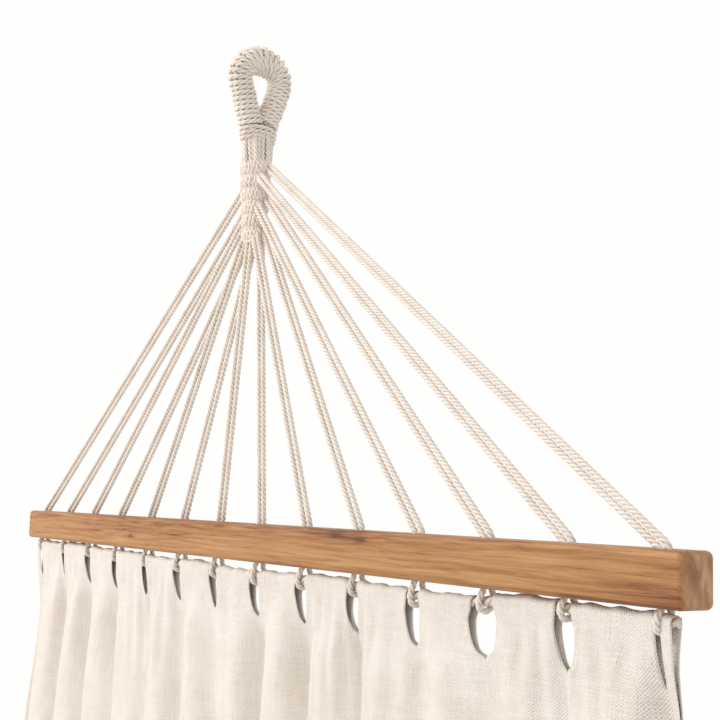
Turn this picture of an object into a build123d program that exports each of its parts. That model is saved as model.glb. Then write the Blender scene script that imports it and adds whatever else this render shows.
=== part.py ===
from build123d import *
from math import acos, atan2, cos, degrees, radians, sin, sqrt
import os

# A spreader-bar hammock, hanging straight down from its upper eye. The two ends are alike: a whipped
# eye, a seized neck, a woven clew, fourteen doubled cords, a wooden bar, and a hem rope that carries
# the canvas. The upper end is modelled here, and the lower end is the same pieces turned end for end.
# X runs along the bars, Y through the thickness, Z up. The origin is where a hook bears in the upper eye.

# Driving dimensions, in millimetres
cord_count = 14
hole_pitch = 92
cord_radius = 3
bar_height = 40
bar_thickness = 35
bar_margin = 28
bar_drop = 517
bed_length = 2000
canvas_width = 1220
canvas_thickness = 3

# Eye: its loop lies in the YZ plane, across the fan of cords
eye_core_radius = 9
eye_whip_radius = 14.5
eye_bend_radius = 26
eye_arm_offset = 9.5
eye_bend_z = eye_whip_radius - eye_bend_radius
collar_top_z = -68
collar_height = 16
collar_wraps = 3
collar_width = 50
collar_depth = 29
collar_bottom_z = collar_top_z - collar_height

# Neck and woven clew
neck_gap = 1
neck_width = 30
neck_depth = 34
neck_hinge_z = collar_bottom_z - neck_gap - neck_depth / 2
clew_top_z = -112
clew_rows = 6
clew_row_height = 15
clew_bottom_z = clew_top_z - clew_rows * clew_row_height
clew_top_size = (44, 38)
clew_bottom_size = (33, 24)

# Cords between the clew and the bar
strand_spacing = 2 * cord_radius + 0.3
cord_end_gap = 2.6
exit_inset = 3
exit_layer = 5
exit_step = 13
right_exit_z = clew_top_z - 5
right_pair_step = 34
right_side_cords = 6
left_exit_z = clew_top_z - 28
left_pair_step = 38
left_side_cords = 4
bottom_exit_spacing = 6.8
bottom_exit_shift = -2

# Bar, hem rope and the bights that hang the hem rope under the bar
bar_edge_radius = 5
bar_hole_radius = 6.6
bar_length = (cord_count - 1) * hole_pitch + 2 * bar_margin
bar_bottom_z = -bar_drop - bar_height
hem_drop = 12
hem_rope_radius = 4.5
hem_rope_z = bar_bottom_z - hem_drop
hem_rope_overhang = 2
hem_rope_length = canvas_width + 2 * hem_rope_overhang
bight_clearance = 0.5
bight_flare_radius = 3.4
bight_flare_top = 1
bight_flare_foot = 3
bight_reach = hem_rope_radius + bight_clearance + cord_radius

# Canvas: a folded header round the hem rope at each end, slotted where a bight passes
header_wall = 1.4
header_depth = 76
header_clearance = 0.3
header_closing = 12
header_closing_gap = 0.2
slot_width = 20
slot_depth = 48
stitch_size = 0.8
side_hem_width = 22
header_seam_inset = 3
side_seam_inset = 10

# The lower end is the upper end turned half a turn about this line across the middle of the bed
bed_middle_z = hem_rope_z - bed_length / 2
turn_axis = Axis((0, 0, bed_middle_z), (1, 0, 0))
tiny = 0.01

hole_x = [(i - (cord_count - 1) / 2) * hole_pitch for i in range(cord_count)]
os.makedirs("parts", exist_ok=True)


def write_piece(piece, name):
    """Label a finished piece and write it as its own STEP file."""
    piece.label = name
    export_step(piece, f"parts/{name}.step")


def write_both_ends(piece, name):
    """Write a piece of the upper end, and its twin turned end for end for the lower end."""
    with BuildPart() as twin:
        add(piece.rotate(turn_axis, 180))
    write_piece(piece, f"{name}_upper")
    write_piece(twin.part, f"{name}_lower")


# ---- Eye: a bent bundle of cords, whipped all round, with its two legs seized in a collar ----

leg_y = eye_arm_offset
leg_distance = sqrt(leg_y**2 + (collar_top_z - eye_bend_z) ** 2)
tangent_angle = atan2(collar_top_z - eye_bend_z, leg_y) + acos(eye_bend_radius / leg_distance)
tangent_y = eye_bend_radius * cos(tangent_angle)
tangent_z = eye_bend_z + eye_bend_radius * sin(tangent_angle)


def eye_half(radius, end_z):
    """Half of the eye's loop, from the top of the bend down one leg to end_z, as a round bar."""
    with BuildPart() as half:
        with BuildLine(Plane.YZ) as path:
            CenterArc((0, eye_bend_z), eye_bend_radius, 90, degrees(tangent_angle) - 90)
            Line((tangent_y, tangent_z), (leg_y, collar_top_z))
            if end_z < collar_top_z:
                Line((leg_y, collar_top_z), (leg_y, end_z))
        with BuildSketch(Plane(origin=path.line @ 0, z_dir=path.line % 0)):
            Circle(radius)
        sweep(transition=Transition.ROUND)
        mirror(about=Plane.XZ)
    return half.part


with BuildPart() as eye_core:
    add(eye_half(eye_core_radius, collar_bottom_z))

with BuildPart() as eye_whipping:
    add(eye_half(eye_whip_radius, collar_top_z))
    with BuildSketch(Plane.XY.offset(collar_top_z)):
        Rectangle(4 * eye_whip_radius, 4 * eye_whip_radius)
    extrude(amount=-2 * eye_whip_radius, mode=Mode.SUBTRACT)
    add(eye_core.part, mode=Mode.SUBTRACT)

# Three turns of cord side by side round both legs
wrap_height = collar_height / collar_wraps
wrap_rounding = wrap_height / 3
with BuildPart() as collar:
    for turn in range(collar_wraps):
        with BuildSketch(Plane.XY.offset(collar_bottom_z + turn * wrap_height)):
            SlotOverall(collar_width, collar_depth, rotation=90)
        extrude(amount=wrap_height)
        turn_rims = collar.edges().filter_by(GeomType.LINE, reverse=True).group_by(Axis.Z)
        fillet(turn_rims[-1], wrap_rounding)
    add(eye_core.part, mode=Mode.SUBTRACT)

write_both_ends(eye_core.part, "eye_core")
write_both_ends(eye_whipping.part, "eye_whipping")
write_both_ends(collar.part, "collar")


# ---- Neck: the cords between the collar and the clew, round on top where they flex at the collar ----

with BuildPart() as neck:
    with BuildSketch(Plane.YZ.offset(-neck_width / 2)) as neck_side:
        with Locations((0, neck_hinge_z)):
            Circle(neck_depth / 2)
        with Locations((0, (neck_hinge_z + clew_top_z) / 2)):
            Rectangle(neck_depth, neck_hinge_z - clew_top_z)
        with Locations((0, clew_top_z - neck_depth / 2)):
            Rectangle(2 * neck_depth, neck_depth, mode=Mode.SUBTRACT)
    extrude(amount=neck_width)
write_both_ends(neck.part, "neck_cords")


# ---- Clew: six rows of weaving, each a rounded oval, narrowing downwards as cords leave it ----

def clew_size(row):
    """Width and depth of one row, counted from the top."""
    share = row / (clew_rows - 1)
    return [top + share * (bottom - top) for top, bottom in zip(clew_top_size, clew_bottom_size)]


def clew_half_width(z):
    """Half the clew's width at height z."""
    return clew_size((clew_top_z - z) / clew_row_height)[0] / 2


with BuildPart() as clew:
    for row in range(clew_rows):
        width, depth = clew_size(row)
        with BuildSketch(Plane.XY.offset(clew_top_z - row * clew_row_height)):
            Ellipse(width / 2, depth / 2)
        extrude(amount=-clew_row_height)
    top_rims = clew.faces().sort_by(Axis.Z)[-1].edges()
    fillet(top_rims, cord_radius)
write_both_ends(clew.part, "woven_clew")


# ---- Doubled cords: two straight strands side by side from the clew to each hole of the bar ----

def cord_exit(i):
    """Where cord i leaves the clew: in pairs down its two sides, and the last four from its bottom."""
    y = exit_layer if i % 2 else -exit_layer
    from_right = cord_count - 1 - i
    if from_right < right_side_cords:
        pair, second = divmod(from_right, 2)
        z = right_exit_z - pair * right_pair_step - second * exit_step
        return Vector(clew_half_width(z) - exit_inset, y, z)
    if i < left_side_cords:
        pair, second = divmod(i, 2)
        z = left_exit_z - pair * left_pair_step - second * exit_step
        return Vector(exit_inset - clew_half_width(z), y, z)
    bottom_cords = cord_count - right_side_cords - left_side_cords
    place = i - left_side_cords - (bottom_cords - 1) / 2
    return Vector(place * bottom_exit_spacing + bottom_exit_shift, y, clew_bottom_z + cord_radius)


cord_end_z = -bar_drop + cord_end_gap
for i, x in enumerate(hole_x):
    start = cord_exit(i)
    end = Vector(x, 0, -bar_drop)
    run = end - start
    across = run.normalized().cross(Vector(0, 1, 0)).normalized()
    with BuildPart() as cord:
        for side in (-0.5, 0.5):
            shift = across * side * strand_spacing
            with BuildSketch(Plane(origin=start + shift, z_dir=run)):
                Circle(cord_radius)
            extrude(amount=run.length + bar_thickness)
        split(bisect_by=Plane.XY.offset(cord_end_z), keep=Keep.TOP)
        add(clew.part, mode=Mode.SUBTRACT)
    write_both_ends(cord.part, f"doubled_cord_{i + 1:02d}")


# ---- Spreader bar: a rounded wooden bar with one vertical hole for each doubled cord ----

with BuildPart() as bar:
    with BuildSketch(Plane.XY.offset(bar_bottom_z)):
        Rectangle(bar_length, bar_thickness)
    extrude(amount=bar_height)
    fillet(bar.edges(), bar_edge_radius)
    with Locations(Plane.XY.offset(-bar_drop)):
        with GridLocations(hole_pitch, 1, cord_count, 1):
            Hole(bar_hole_radius)
write_both_ends(bar.part, "spreader_bar")


# ---- Bights: each cord runs down through its hole, round under the hem rope, and up again ----

hole_strand_y = strand_spacing / 2
flare_start_z = bar_bottom_z - bight_flare_top
flare_end_z = hem_rope_z + bight_flare_foot
bight_bottom_z = hem_rope_z - bight_reach
bight_turn_radius = bight_reach - tiny
flare_radii = [bight_flare_radius] * 2
with BuildPart() as bights:
    for x in hole_x:
        with BuildLine(Plane.YZ.offset(x)) as bight_path:
            FilletPolyline(
                (hole_strand_y, -bar_drop),
                (hole_strand_y, flare_start_z),
                (bight_reach, flare_end_z),
                (bight_reach, bight_bottom_z),
                (-bight_reach, bight_bottom_z),
                (-bight_reach, flare_end_z),
                (-hole_strand_y, flare_start_z),
                (-hole_strand_y, -bar_drop),
                radius=flare_radii + [bight_turn_radius] * 2 + flare_radii,
            )
        with BuildSketch(Plane(origin=bight_path.line @ 0, z_dir=bight_path.line % 0)):
            Circle(cord_radius)
        sweep()
write_both_ends(bights.part, "cord_bights")


# ---- Hem rope: the straight rope inside the canvas header, carried by the bights ----

with BuildPart() as hem_rope:
    with BuildSketch(Plane.YZ.offset(-hem_rope_length / 2)):
        with Locations((0, hem_rope_z)):
            Circle(hem_rope_radius)
    extrude(amount=hem_rope_length)
write_both_ends(hem_rope.part, "hem_rope")


# ---- Canvas: one panel, folded round each hem rope into a header, with a slot for each bight ----

stitch_z = hem_rope_z - header_depth
inner_radius = hem_rope_radius + header_clearance
outer_radius = inner_radius + header_wall


def header_outline(radius, foot_half_width, foot_z):
    """A teardrop in the YZ plane: an arc over the hem rope and two sides closing towards the foot."""
    with BuildSketch(Plane.YZ.offset(-canvas_width / 2)) as outline:
        with BuildLine():
            CenterArc((0, hem_rope_z), radius, 0, 180)
            Polyline(
                (-radius, hem_rope_z),
                (-foot_half_width, foot_z),
                (foot_half_width, foot_z),
                (radius, hem_rope_z),
            )
        make_face()
    return outline.sketch


with BuildPart() as header:
    extrude(header_outline(outer_radius, canvas_thickness / 2, stitch_z), amount=canvas_width)
    extrude(
        header_outline(inner_radius, header_closing_gap, stitch_z + header_closing),
        amount=canvas_width,
        mode=Mode.SUBTRACT,
    )
    with BuildSketch(Plane.XZ.offset(-2 * bar_thickness)):
        with Locations((0, hem_rope_z - slot_depth / 2 + outer_radius)):
            with GridLocations(hole_pitch, 1, cord_count, 1):
                SlotOverall(slot_depth + 2 * outer_radius, slot_width, rotation=90)
    extrude(amount=4 * bar_thickness, mode=Mode.SUBTRACT)

with BuildPart() as canvas:
    with BuildSketch(Plane.XZ.offset(-canvas_thickness / 2)):
        with Locations((0, bed_middle_z)):
            Rectangle(canvas_width, 2 * (stitch_z - bed_middle_z))
    extrude(amount=canvas_thickness)
    add(header.part)
    add(header.part.rotate(turn_axis, 180))
write_piece(canvas.part, "canvas_bed")


# ---- Stitching: the seam threads that close the headers and the side hems, on both faces ----

seam_offset = canvas_thickness / 2 + stitch_size / 2
header_seam_z = stitch_z - header_seam_inset
side_seam_x = canvas_width / 2 - side_hem_width
side_seam_length = 2 * (header_seam_z - bed_middle_z - side_seam_inset)
with BuildPart() as header_stitching:
    for face_y in (-seam_offset, seam_offset):
        with BuildSketch(Plane.XY.offset(header_seam_z)):
            with Locations((0, face_y)):
                Rectangle(canvas_width - 2 * side_hem_width, stitch_size)
        extrude(amount=stitch_size)
write_both_ends(header_stitching.part, "header_stitching")

with BuildPart() as side_stitching:
    with BuildSketch(Plane.XY.offset(bed_middle_z - side_seam_length / 2)):
        with GridLocations(2 * side_seam_x, 2 * seam_offset, 2, 2):
            Rectangle(stitch_size, stitch_size)
    extrude(amount=side_seam_length)
write_piece(side_stitching.part, "side_stitching")
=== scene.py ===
"""Looks of a spreader-bar hammock that hangs from its upper eye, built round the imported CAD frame."""

import math

import bpy
import numpy as np
from mathutils import Matrix, Vector


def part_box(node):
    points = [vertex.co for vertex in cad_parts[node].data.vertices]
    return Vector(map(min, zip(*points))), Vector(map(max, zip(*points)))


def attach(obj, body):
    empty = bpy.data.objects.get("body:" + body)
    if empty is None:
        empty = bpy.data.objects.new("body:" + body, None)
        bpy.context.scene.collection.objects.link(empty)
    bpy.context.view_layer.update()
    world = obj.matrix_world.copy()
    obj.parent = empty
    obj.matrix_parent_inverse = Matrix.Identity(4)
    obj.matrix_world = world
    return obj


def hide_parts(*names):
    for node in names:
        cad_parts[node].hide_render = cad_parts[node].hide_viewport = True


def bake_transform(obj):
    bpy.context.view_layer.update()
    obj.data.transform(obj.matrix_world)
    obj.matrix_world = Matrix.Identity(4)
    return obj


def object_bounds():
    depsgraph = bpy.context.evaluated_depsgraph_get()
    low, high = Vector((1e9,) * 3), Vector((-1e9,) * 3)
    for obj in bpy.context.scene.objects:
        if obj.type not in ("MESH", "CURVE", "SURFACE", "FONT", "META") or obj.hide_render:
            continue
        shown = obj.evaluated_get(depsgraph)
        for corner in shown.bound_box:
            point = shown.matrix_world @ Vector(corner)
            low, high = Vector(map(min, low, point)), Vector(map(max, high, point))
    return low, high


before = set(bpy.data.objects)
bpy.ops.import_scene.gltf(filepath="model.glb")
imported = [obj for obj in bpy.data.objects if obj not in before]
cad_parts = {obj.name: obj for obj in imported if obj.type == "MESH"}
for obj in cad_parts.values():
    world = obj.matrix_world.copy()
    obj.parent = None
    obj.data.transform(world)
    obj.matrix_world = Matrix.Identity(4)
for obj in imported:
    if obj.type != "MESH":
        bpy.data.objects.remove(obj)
cad_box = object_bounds()
rng = np.random.default_rng(7)

# ---------------------------------------------------------------------------------------------
# Places, in metres, from the frame: X along the bars, Y through the thickness, Z up

MM = 0.001
CORD_COUNT = 14

bar_low, bar_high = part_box("spreader_bar_upper")
bights_low, bights_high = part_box("cord_bights_upper")
hem_low, hem_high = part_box("hem_rope_upper")
canvas_low, canvas_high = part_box("canvas_bed")
header_seam_low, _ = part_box("header_stitching_upper")
clew_low, clew_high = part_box("woven_clew_upper")
collar_low, collar_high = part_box("collar_upper")
whip_low, whip_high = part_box("eye_whipping_upper")

CORD_RADIUS = 3 * MM
BAR_TOP = bar_high.z
BAR_BOTTOM = bar_low.z
HEM_Z = (hem_low.z + hem_high.z) / 2
HEM_RADIUS = (hem_high.z - hem_low.z) / 2
MIDDLE_Z = (canvas_low.z + canvas_high.z) / 2
CANVAS_HALF = canvas_high.x
SEAM_Z = header_seam_low.z
PITCH = (bights_high.x - bights_low.x - 2 * CORD_RADIUS) / (CORD_COUNT - 1)
HOLES = np.array([(i - (CORD_COUNT - 1) / 2) * PITCH for i in range(CORD_COUNT)])

# Half a turn about the line across the middle of the bed carries the upper end to the lower end
TURN = Matrix.Translation((0, 0, 2 * MIDDLE_Z)) @ Matrix.Rotation(math.pi, 4, "X")


# ---------------------------------------------------------------------------------------------
# Helpers for meshes

# Points nearer than this are one point, and each corner of a soft path is drawn with so many points
SAME_POINT = 1e-7
CURVE_STEPS = 24
# The grooves between the strands of a rope are no deeper than this share of its radius
GROOVE_FLOOR = 0.76


def smooth(low, high, value):
    """0 below low, 1 above high, and a smooth step between."""
    t = np.clip((value - low) / (high - low), 0, 1)
    return t * t * (3 - 2 * t)


def between(rise, fall, value):
    """0, then 1 after the first (start, end) pair, then 0 again after the second, in smooth steps."""
    return smooth(*rise, value) * (1 - smooth(*fall, value))


def unit(vectors):
    """The same vectors, each of length 1."""
    return vectors / np.linalg.norm(vectors, axis=-1)[..., None]


def new_object(name, mesh, material):
    """A new object in the scene, with one material."""
    obj = bpy.data.objects.new(name, mesh)
    bpy.context.scene.collection.objects.link(obj)
    mesh.materials.clear()
    mesh.materials.append(material)
    return obj


class Builder:
    """Collects points, faces and a UV for each face corner, and makes one mesh of them."""

    def __init__(self):
        self.points = []
        self.faces = []
        self.uv = []
        self.count = 0

    def add_grid(self, rings, u_low, u_high, v, closed=True, caps=True):
        """Quads between rings of points (ring, point, xyz)."""
        rows, sides = rings.shape[:2]
        columns = sides if closed else sides - 1
        i, c = np.meshgrid(np.arange(rows - 1), np.arange(columns), indexing="ij")
        d = (c + 1) % sides
        quads = np.stack([i * sides + c, i * sides + d, (i + 1) * sides + d, (i + 1) * sides + c], -1)
        self.faces += (quads.reshape(-1, 4) + self.count).tolist()
        corner_u = np.stack([u_low[c], u_high[c], u_high[c], u_low[c]], -1).reshape(-1)
        corner_v = np.stack([v[i], v[i], v[i + 1], v[i + 1]], -1).reshape(-1)
        self.uv.append(np.stack([corner_u, corner_v], -1))
        if caps:
            first = [self.count + k for k in range(sides)]
            last = [self.count + (rows - 1) * sides + k for k in range(sides)]
            self.faces += [first[::-1], last]
            self.uv.append(np.tile([0.5, v[0]], (2 * sides, 1)))
        self.points.append(rings.reshape(-1, 3))
        self.count += rows * sides

    def mesh(self, name):
        """One smooth-shaded mesh of everything added so far."""
        mesh = bpy.data.meshes.new(name)
        mesh.from_pydata(np.concatenate(self.points).tolist(), [], self.faces)
        layer = mesh.uv_layers.new(name="run")
        layer.data.foreach_set("uv", np.concatenate(self.uv).reshape(-1))
        mesh.polygons.foreach_set("use_smooth", [True] * len(mesh.polygons))
        mesh.update()
        return mesh


def steps_of(path):
    """The distance from each point of a path to the next."""
    return np.linalg.norm(np.diff(path, axis=0), axis=1)


def run_of(path):
    """How far along a path each of its points is."""
    return np.concatenate([[0], np.cumsum(steps_of(path))])


def even_path(points, step):
    """The path through these points, with new points evenly spaced by about step."""
    points = np.asarray(points, float)
    points = points[np.concatenate([[True], steps_of(points) > SAME_POINT])]
    along = run_of(points)
    marks = np.linspace(0, along[-1], max(3, int(along[-1] / step) + 1))
    return np.stack([np.interp(marks, along, points[:, k]) for k in range(3)], -1)


def soft_path(points, step):
    """A smooth curve near these points: corners are cut by a quadratic B-spline."""
    points = np.asarray(points, float)
    middles = (points[:-1] + points[1:]) / 2
    dense = [points[0]]
    for k in range(1, len(points) - 1):
        start = points[0] if k == 1 else middles[k - 1]
        end = points[-1] if k == len(points) - 2 else middles[k]
        for t in np.linspace(0, 1, CURVE_STEPS):
            dense.append(start * (1 - t) ** 2 + points[k] * 2 * t * (1 - t) + end * t * t)
    return even_path(dense, step)


def path_frames(path):
    """Tangent, normal and binormal at each point, carried along without twisting."""
    tangents = unit(np.gradient(path, axis=0))
    runs_along_y = abs(tangents[0][1]) >= 0.9
    normal = np.array([1.0, 0.0, 0.0]) if runs_along_y else np.array([0.0, 1.0, 0.0])
    normals = []
    for tangent in tangents:
        normal = normal - tangent * normal.dot(tangent)
        normal = normal / np.linalg.norm(normal)
        normals.append(normal)
    normals = np.array(normals)
    return tangents, normals, np.cross(tangents, normals)


def add_rope(builder, path, radius, lay, strands=3, per_strand=5, turn=0.0):
    """A laid rope along a path: a lobed outline that turns once in each lay length."""
    radius = np.broadcast_to(radius, len(path))
    _, normals, binormals = path_frames(path)
    along = run_of(path)
    half = math.pi / strands
    strand = math.sin(half) / (1 + math.sin(half))
    centre = 1 - strand
    across = (np.arange(per_strand) / per_strand * 2 - 1) * half
    edge = np.sqrt(np.maximum(strand**2 - (centre * np.sin(across)) ** 2, 0))
    lobe = np.maximum(centre * np.cos(across) + edge, GROOVE_FLOOR)
    angles = np.concatenate([across + half * (2 * k + 1) for k in range(strands)])
    outline = np.tile(lobe, strands)
    turned = angles[None, :] + (turn - 2 * math.pi * along / lay)[:, None]
    reach = outline[None, :] * radius[:, None]
    rings = path[:, None, :] + (reach * np.cos(turned))[..., None] * normals[:, None, :]
    rings = rings + (reach * np.sin(turned))[..., None] * binormals[:, None, :]
    u_low = np.tile(np.arange(per_strand) / per_strand, strands)
    builder.add_grid(rings, u_low, u_low + 1 / per_strand, along / lay)


def both_ends(name, mesh, material, bodies, nodes, start=None):
    """Puts a piece on the upper end and its turned twin on the lower end.

    With start, whose value is not read, it is baked where it stands and rides on no body, and without it
    rides on the first."""
    for side, matrix in (("upper", Matrix.Identity(4)), ("lower", TURN)):
        copy = mesh.copy()
        copy.transform(matrix)
        piece = new_object(f"{name}_{side}", copy, material)
        names = [body if body == "bed" else f"{body}_{side}" for body in bodies]
        if start:
            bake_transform(piece)
        else:
            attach(piece, names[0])
        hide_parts(*[f"{node}_{side}" for node in nodes])


# ---------------------------------------------------------------------------------------------
# Helpers for materials

SHEEN_ROUGHNESS = 0.5


def new_material(name):
    """A new material, its node tree and its shader."""
    material = bpy.data.materials.new(name)
    material.use_nodes = True
    tree = material.node_tree
    shader = next(node for node in tree.nodes if node.type == "BSDF_PRINCIPLED")
    return material, tree, shader


def maths(tree, operation, *values):
    """A Math node: each value is a number or another node's output."""
    node = tree.nodes.new("ShaderNodeMath")
    node.operation = operation
    for socket, value in zip(node.inputs, values):
        if isinstance(value, (int, float)):
            socket.default_value = value
        else:
            tree.links.new(value, socket)
    return node.outputs[0]


def total(tree, *terms):
    """The sum of (value, weight) pairs."""
    result = 0.0
    for value, weight in terms:
        result = maths(tree, "MULTIPLY_ADD", value, weight, result)
    return result


def mapped(tree, vector, scale, location=(0, 0, 0)):
    """The vector, stretched and shifted."""
    node = tree.nodes.new("ShaderNodeMapping")
    node.inputs["Scale"].default_value = scale
    node.inputs["Location"].default_value = location
    tree.links.new(vector, node.inputs["Vector"])
    return node.outputs[0]


def noise(tree, vector, scale=1.0, detail=3.0, roughness=0.55, distortion=0.0):
    """Cloudy noise from 0 to 1."""
    node = tree.nodes.new("ShaderNodeTexNoise")
    node.inputs["Scale"].default_value = scale
    node.inputs["Detail"].default_value = detail
    node.inputs["Roughness"].default_value = roughness
    node.inputs["Distortion"].default_value = distortion
    tree.links.new(vector, node.inputs["Vector"])
    return node.outputs[0]


def ramp(tree, factor, stops):
    """A colour for each value of factor, from (position, colour) stops."""
    node = tree.nodes.new("ShaderNodeValToRGB")
    elements = node.color_ramp.elements
    while len(elements) < len(stops):
        elements.new(0.5)
    for element, (position, colour) in zip(elements, stops):
        element.position = position
        element.color = (*colour, 1)
    tree.links.new(factor, node.inputs[0])
    return node.outputs[0]


def mixed(tree, factor, first, second):
    """The first colour where factor is 0 and the second where it is 1."""
    node = tree.nodes.new("ShaderNodeMix")
    node.data_type = "RGBA"
    tree.links.new(factor, node.inputs[0])
    tree.links.new(first, node.inputs[6])
    tree.links.new(second, node.inputs[7])
    return node.outputs[2]


def bump(tree, height, strength, distance, normal=None):
    """The shading normal of a fine relief, over another one if given."""
    node = tree.nodes.new("ShaderNodeBump")
    node.inputs["Strength"].default_value = strength
    node.inputs["Distance"].default_value = distance
    tree.links.new(height, node.inputs["Height"])
    if normal is not None:
        tree.links.new(normal, node.inputs["Normal"])
    return node.outputs[0]


def finish_fabric(shader, roughness, specular, sheen):
    """The shader's plain numbers for cord or cloth."""
    shader.inputs["Roughness"].default_value = roughness
    shader.inputs["Specular IOR Level"].default_value = specular
    shader.inputs["Sheen Weight"].default_value = sheen
    shader.inputs["Sheen Roughness"].default_value = SHEEN_ROUGHNESS


def coordinates(tree, kind):
    """The vector of the UV map or of object space, and its separate x, y and z."""
    if kind == "uv":
        node = tree.nodes.new("ShaderNodeUVMap")
        node.uv_map = "run"
        vector = node.outputs[0]
    else:
        vector = tree.nodes.new("ShaderNodeTexCoord").outputs["Object"]
    split = tree.nodes.new("ShaderNodeSeparateXYZ")
    tree.links.new(vector, split.inputs[0])
    return vector, split.outputs


# Yarns in each strand of a rope, and how dark and narrow the painted shade in the grooves between the
# strands is
YARNS = 5
GROOVE_SHADE_SHARPNESS = 2.6


def rope_material(name, light, middle, dark, strands=3):
    """Laid cotton: yarns that run along the rope, painted shade in the grooves between the strands,
    mottling and a soft fuzz.
    """
    material, tree, shader = new_material(name)
    _, (side, run, _) = coordinates(tree, "uv")
    place, _ = coordinates(tree, "object")
    yarn_phase = total(tree, (side, YARNS * math.pi), (run, -YARNS * math.pi * strands))
    yarn = maths(tree, "ABSOLUTE", maths(tree, "SINE", yarn_phase))
    fuzz = noise(tree, place, scale=1500, detail=3, roughness=0.65)
    mottle = noise(tree, place, scale=34, detail=4, roughness=0.6)
    from_middle = maths(tree, "ABSOLUTE", maths(tree, "SUBTRACT", side, 0.5))
    # Painted shade: each strand darkens towards its edges, where the grooves between the strands lie.
    groove_shade = maths(tree, "POWER", maths(tree, "MULTIPLY", from_middle, 2.0), GROOVE_SHADE_SHARPNESS)
    shade = total(tree, (yarn, 0.16), (fuzz, 0.42), (mottle, 0.5), (groove_shade, -0.46))
    colour = ramp(tree, shade, [(0.0, dark), (0.26, middle), (0.58, light)])
    tree.links.new(colour, shader.inputs["Base Color"])
    height = total(tree, (yarn, 0.7), (fuzz, 0.7))
    relief = bump(tree, height, strength=0.55, distance=0.0004)
    tree.links.new(relief, shader.inputs["Normal"])
    finish_fabric(shader, roughness=0.88, specular=0.22, sheen=0.3)
    return material


THREAD_PITCH = 1.35 * MM


def canvas_material():
    """Plain-woven natural canvas: warp over weft, slubs in both, flecks, soft creases and mottling.

    The doubled cloth of the headers, outside the two seams, is a little paler."""
    material, tree, shader = new_material("canvas")
    uv, (across, along, _) = coordinates(tree, "uv")
    warp = maths(tree, "SINE", maths(tree, "MULTIPLY", across, math.pi / THREAD_PITCH))
    weft = maths(tree, "SINE", maths(tree, "MULTIPLY", along, math.pi / THREAD_PITCH))
    over = maths(tree, "MULTIPLY", warp, weft)
    warp_slub = noise(tree, mapped(tree, uv, (850, 26, 1)), detail=2)
    weft_slub = noise(tree, mapped(tree, uv, (26, 850, 1), (3, 7, 0)), detail=2)
    mottle = noise(tree, uv, scale=17, detail=5, roughness=0.62)
    fleck = noise(tree, uv, scale=900, detail=2, roughness=0.7)
    slubs = [(warp_slub, 0.30), (weft_slub, 0.30)]
    shade = total(tree, (over, 0.16), *slubs, (mottle, 0.32), (fleck, 0.52))
    colour = ramp(tree, shade, [
        (0.42, (0.46, 0.37, 0.275)),
        (0.64, (0.675, 0.605, 0.53)),
        (0.88, (0.775, 0.72, 0.655)),
    ])
    _, (_, _, up) = coordinates(tree, "object")
    from_middle = maths(tree, "ABSOLUTE", maths(tree, "SUBTRACT", up, MIDDLE_Z))
    doubled = maths(tree, "GREATER_THAN", from_middle, SEAM_Z - MIDDLE_Z)
    header_colour = ramp(tree, shade, [
        (0.42, (0.44, 0.36, 0.275)),
        (0.64, (0.665, 0.60, 0.535)),
        (0.88, (0.785, 0.74, 0.69)),
    ])
    tree.links.new(mixed(tree, doubled, colour, header_colour), shader.inputs["Base Color"])
    height = total(tree, (over, 0.7), (warp_slub, 0.8), (weft_slub, 0.8), (fleck, 0.8))
    fine = bump(tree, height, strength=0.7, distance=0.0006)
    creases = noise(tree, mapped(tree, uv, (42, 22, 1)), detail=4, roughness=0.6, distortion=0.5)
    relief = bump(tree, creases, strength=0.5, distance=0.006, normal=fine)
    tree.links.new(relief, shader.inputs["Normal"])
    finish_fabric(shader, roughness=0.92, specular=0.18, sheen=0.2)
    return material


# Small knots on the upper bar's front face, as shares of its length and height, and their stretch
KNOTS = [(0.672, 0.88), (0.704, 0.78), (0.30, 0.40)]
KNOT_SCALE = (95, 25, 380)
KNOT_WEIGHT = -0.30
# The tree's pith runs along X, so far in front of the bar's middle, at this height above a whole metre
PITH_DEPTH = 0.034
PITH_HEIGHT = 0.40
RING_PITCH = 0.0068


def knot(tree, place, centre):
    """1 in the middle of a knot, drawn out along the grain, and 0 away from it."""
    x = bar_low.x + centre[0] * (bar_high.x - bar_low.x)
    z = bar_low.z + centre[1] * (bar_high.z - bar_low.z)
    shift = (-x * KNOT_SCALE[0], -bar_low.y * KNOT_SCALE[1], -z * KNOT_SCALE[2])
    node = tree.nodes.new("ShaderNodeVectorMath")
    node.operation = "LENGTH"
    tree.links.new(mapped(tree, place, KNOT_SCALE, shift), node.inputs[0])
    return maths(tree, "POWER", 2.0, maths(tree, "MULTIPLY", node.outputs[1], -2.0))


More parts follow.
